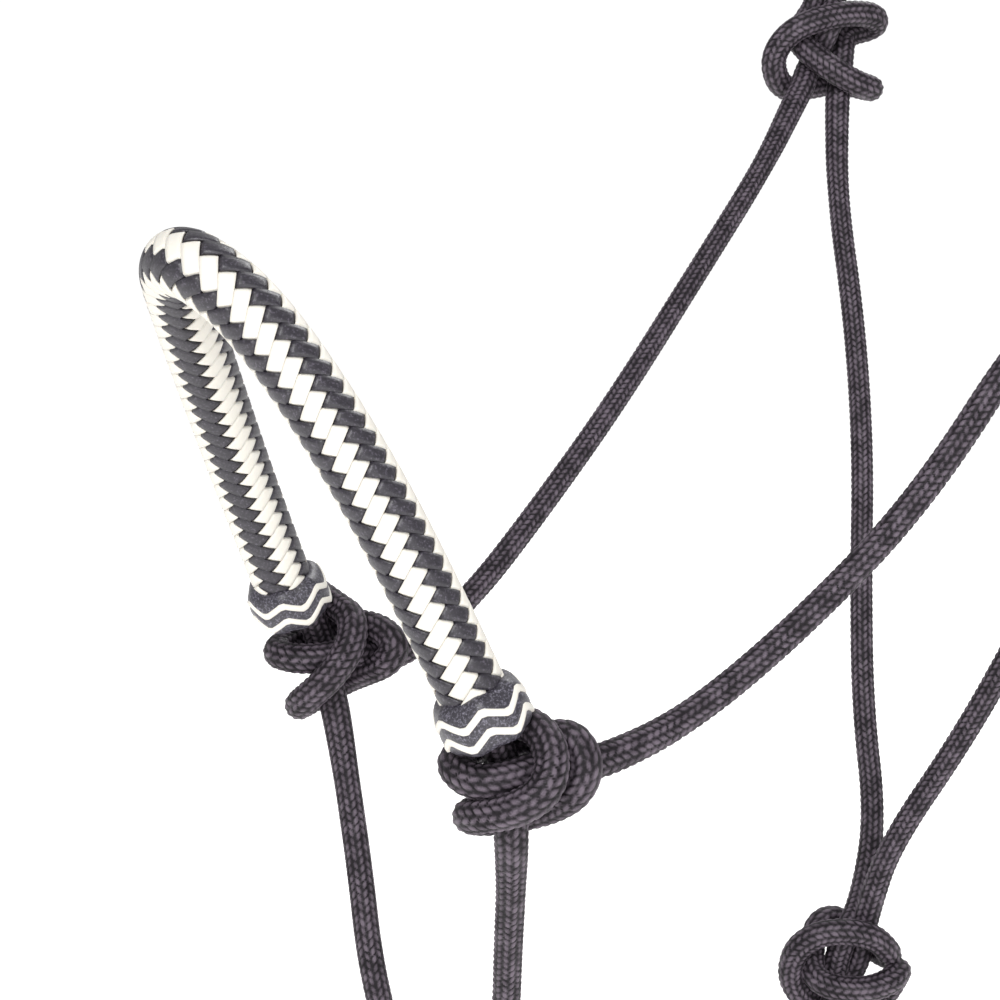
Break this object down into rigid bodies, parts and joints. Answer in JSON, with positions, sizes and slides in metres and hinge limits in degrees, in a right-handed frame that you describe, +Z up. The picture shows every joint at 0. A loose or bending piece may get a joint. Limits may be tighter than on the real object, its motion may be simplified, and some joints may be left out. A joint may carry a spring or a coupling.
{
  "type": "rope halter",
  "caption": "Knotted rope halter for a horse in its worn shape, with a plaited leather noseband, a crown that ties on the near side and a loop for a lead.",
  "frame": {"origin": "midway between the two cheek knots, on the halter's middle plane, inside the head that holds it", "axes": "+Z up, -X towards the horse's nose, -Y the horse's near (left) side, where the crown ties"},
  "size_m": [0.3116, 0.2144, 0.5892],
  "materials": {
    "braided_rope": "tightly braided synthetic sheath, slight sheen",
    "core_rope": "braided rope inside the plait",
    "black_leather": "black latigo strips, waxed, scuffed grey-blue along the edges",
    "natural_lace": "natural off-white rawhide and kangaroo lace, satin",
    "whipping": "waxed black thread whipping"
  },
  "bodies": {
    "cheeks": {"near_cheek_rope": "braided_rope", "far_cheek_rope": "braided_rope", "near_cheek_knot": "braided_rope", "far_cheek_knot": "braided_rope", "near_nose_knot": "braided_rope", "far_nose_knot": "braided_rope", "noseband_core_front": "core_rope", "noseband_core_rear": "core_rope", "noseband_plait": "black_leather", "near_end_wrap": "black_leather", "far_end_wrap": "black_leather", "near_wrap_lacing": "natural_lace", "far_wrap_lacing": "natural_lace"},
    "throat": {"near_throat_rope": "braided_rope", "far_throat_rope": "braided_rope", "throat_knot": "braided_rope"},
    "jaw": {"near_jaw_rope": "braided_rope", "far_jaw_rope": "braided_rope"},
    "chin": {"near_chin_rope": "braided_rope", "far_chin_rope": "braided_rope", "fiador_knot": "braided_rope"},
    "lead": {"lead_loop": "braided_rope"},
    "crown": {"crown_strand_front": "braided_rope", "crown_strand_rear": "braided_rope", "crown_tie_front": "braided_rope", "crown_tie_rear": "braided_rope", "crown_loop": "braided_rope"},
    "tails": {"crown_tail_front": "braided_rope", "crown_tail_rear": "braided_rope", "tail_tip_front": "whipping", "tail_tip_rear": "whipping"}
  },
  "joints": [
    {"name": "crown_swing", "type": "hinge", "parent": "cheeks", "child": "crown", "pos_m": [0.004, 0, 0.017], "axis": [0, 1, 0], "range_deg": [-25, 30]},
    {"name": "throat_swing", "type": "hinge", "parent": "cheeks", "child": "throat", "pos_m": [0.0033, 0, -0.017], "axis": [0, 1, 0], "range_deg": [-6, 6]},
    {"name": "chin_swing", "type": "hinge", "parent": "cheeks", "child": "chin", "pos_m": [-0.2027, 0, -0.1755], "axis": [0, 1, 0], "range_deg": [-11.48, 11.48]},
    {"name": "jaw_swing", "type": "hinge", "parent": "throat", "child": "jaw", "pos_m": [-0.066, 0, -0.277], "axis": [0, 1, 0], "range_deg": [-13.74, 13.74]},
    {"name": "lead_loop_swing", "type": "hinge", "parent": "chin", "child": "lead", "pos_m": [-0.19, 0, -0.312], "axis": [0, 1, 0], "range_deg": [-45, 45]},
    {"name": "tails_swing", "type": "hinge", "parent": "crown", "child": "tails", "pos_m": [0.0432, -0.1095, 0.0397], "axis": [0, 1, 0], "range_deg": [-20, 20]}
  ],
  "couplings": [
    {"joint": "chin_swing", "follows": "throat_swing", "ratio": 1.88},
    {"joint": "jaw_swing", "follows": "throat_swing", "ratio": -2.257}
  ]
}
